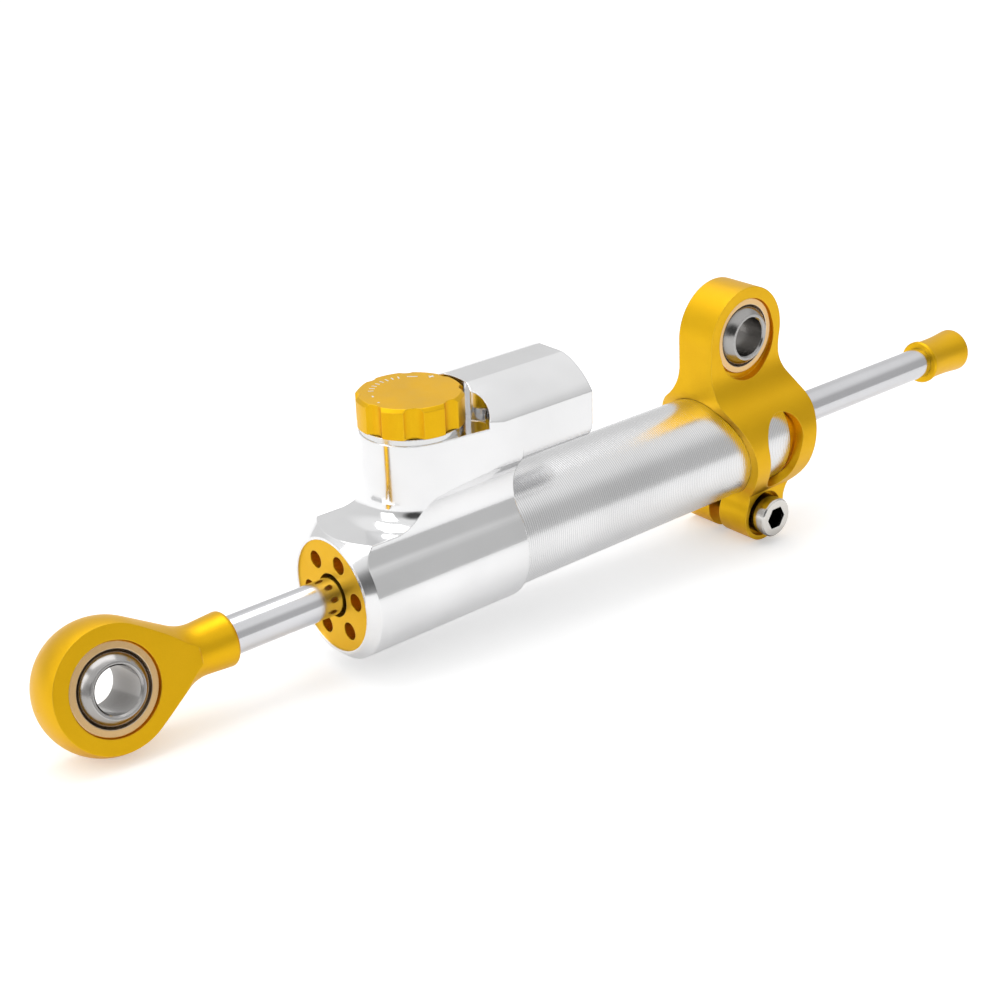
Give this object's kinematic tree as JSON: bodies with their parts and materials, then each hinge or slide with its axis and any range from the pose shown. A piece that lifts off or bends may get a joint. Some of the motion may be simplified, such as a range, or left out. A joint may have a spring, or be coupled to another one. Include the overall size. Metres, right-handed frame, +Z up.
{
  "type": "linear motorcycle steering damper with a tube clamp",
  "caption": "Linear hydraulic steering damper: bright housing with a gold adjuster knob, satin tube, through rod with a rod end, tail cap and a clamp with a spherical bearing.",
  "frame": {"origin": "Centre of the rod end's ball, on the rod's axis.", "axes": "+X along the rod from the rod end to the tail cap, +Z up towards the knob and the clamp's bearing head, +Y along the clamp bearing's bore to the far side."},
  "size_m": [0.2389, 0.0268, 0.0558],
  "materials": {
    "gold_anodised": "machined aluminium with a gold anodised coat",
    "buffed_aluminium": "milled and buffed bright aluminium",
    "satin_aluminium": "satin aluminium with fine turned lines",
    "machined_aluminium": "bright machined aluminium",
    "ground_steel": "ground steel",
    "polished_steel": "polished bearing steel",
    "chromed_steel": "hard chromed and ground",
    "bearing_bronze": "pale sintered bronze",
    "black_rubber": "smooth moulded rubber"
  },
  "bodies": {
    "cylinder": {"housing": "buffed_aluminium", "cylinder_tube": "satin_aluminium", "liner_tube": "ground_steel", "front_gland": "gold_anodised", "rear_gland": "gold_anodised", "front_bush": "bearing_bronze", "rear_bush": "bearing_bronze", "front_rod_seal": "black_rubber", "rear_rod_seal": "black_rubber", "front_gland_o_ring": "black_rubber", "rear_gland_o_ring": "black_rubber", "valve_bonnet": "machined_aluminium", "bonnet_o_ring": "black_rubber", "spindle_o_ring": "black_rubber", "detent_ball": "polished_steel", "detent_plunger": "ground_steel", "reservoir_plug": "machined_aluminium", "reservoir_plug_o_ring": "black_rubber"},
    "compensator": {"reservoir_piston": "machined_aluminium", "reservoir_piston_o_ring": "black_rubber"},
    "knob": {"adjuster_knob": "gold_anodised", "adjuster_spindle": "ground_steel"},
    "needle": {"metering_needle": "ground_steel"},
    "clamp": {"tube_clamp": "gold_anodised", "clamp_bolt": "ground_steel", "clamp_bearing_race": "bearing_bronze"},
    "clamp_ball": {"clamp_bearing_ball": "polished_steel"},
    "piston": {"piston": "machined_aluminium", "piston_ring": "bearing_bronze"},
    "rod": {"damper_rod": "chromed_steel", "piston_circlips": "ground_steel", "rod_end": "gold_anodised", "rod_end_race": "bearing_bronze", "tail_cap": "gold_anodised"},
    "rod_end_ball": {"rod_end_ball": "polished_steel"}
  },
  "joints": [
    {"name": "piston_slide", "type": "slide", "parent": "cylinder", "child": "piston", "axis": [1, 0, 0], "range_m": [-0.045, 0.019]},
    {"name": "rod_turn", "type": "hinge", "parent": "piston", "child": "rod", "pos_m": [0, 0, 0], "axis": [1, 0, 0], "continuous": true},
    {"name": "rod_end_tilt", "type": "hinge", "parent": "rod", "child": "rod_end_ball", "pos_m": [0, 0, 0], "axis": [1, 0, 0], "range_deg": [-10, 10]},
    {"name": "clamp_slide", "type": "slide", "parent": "cylinder", "child": "clamp", "axis": [1, 0, 0], "range_m": [-0.03, 0.001]},
    {"name": "clamp_ball_tilt", "type": "hinge", "parent": "clamp", "child": "clamp_ball", "pos_m": [0.1476, 0, 0.0241], "axis": [1, 0, 0], "range_deg": [-10, 10]},
    {"name": "knob_turn", "type": "hinge", "parent": "cylinder", "child": "knob", "pos_m": [0.06445, 0, 0.0306], "axis": [0, 0, 1], "range_deg": [-135, 135]},
    {"name": "needle_travel", "type": "slide", "parent": "cylinder", "child": "needle", "axis": [0, 0, 1], "range_m": [-0.0008, 0.0008]},
    {"name": "compensator_travel", "type": "slide", "parent": "cylinder", "child": "compensator", "axis": [1, 0, 0], "range_m": [-0.0025, 0.004]}
  ],
  "couplings": [
    {"joint": "needle_travel", "follows": "knob_turn", "m_per_rad": 0.0003183}
  ]
}
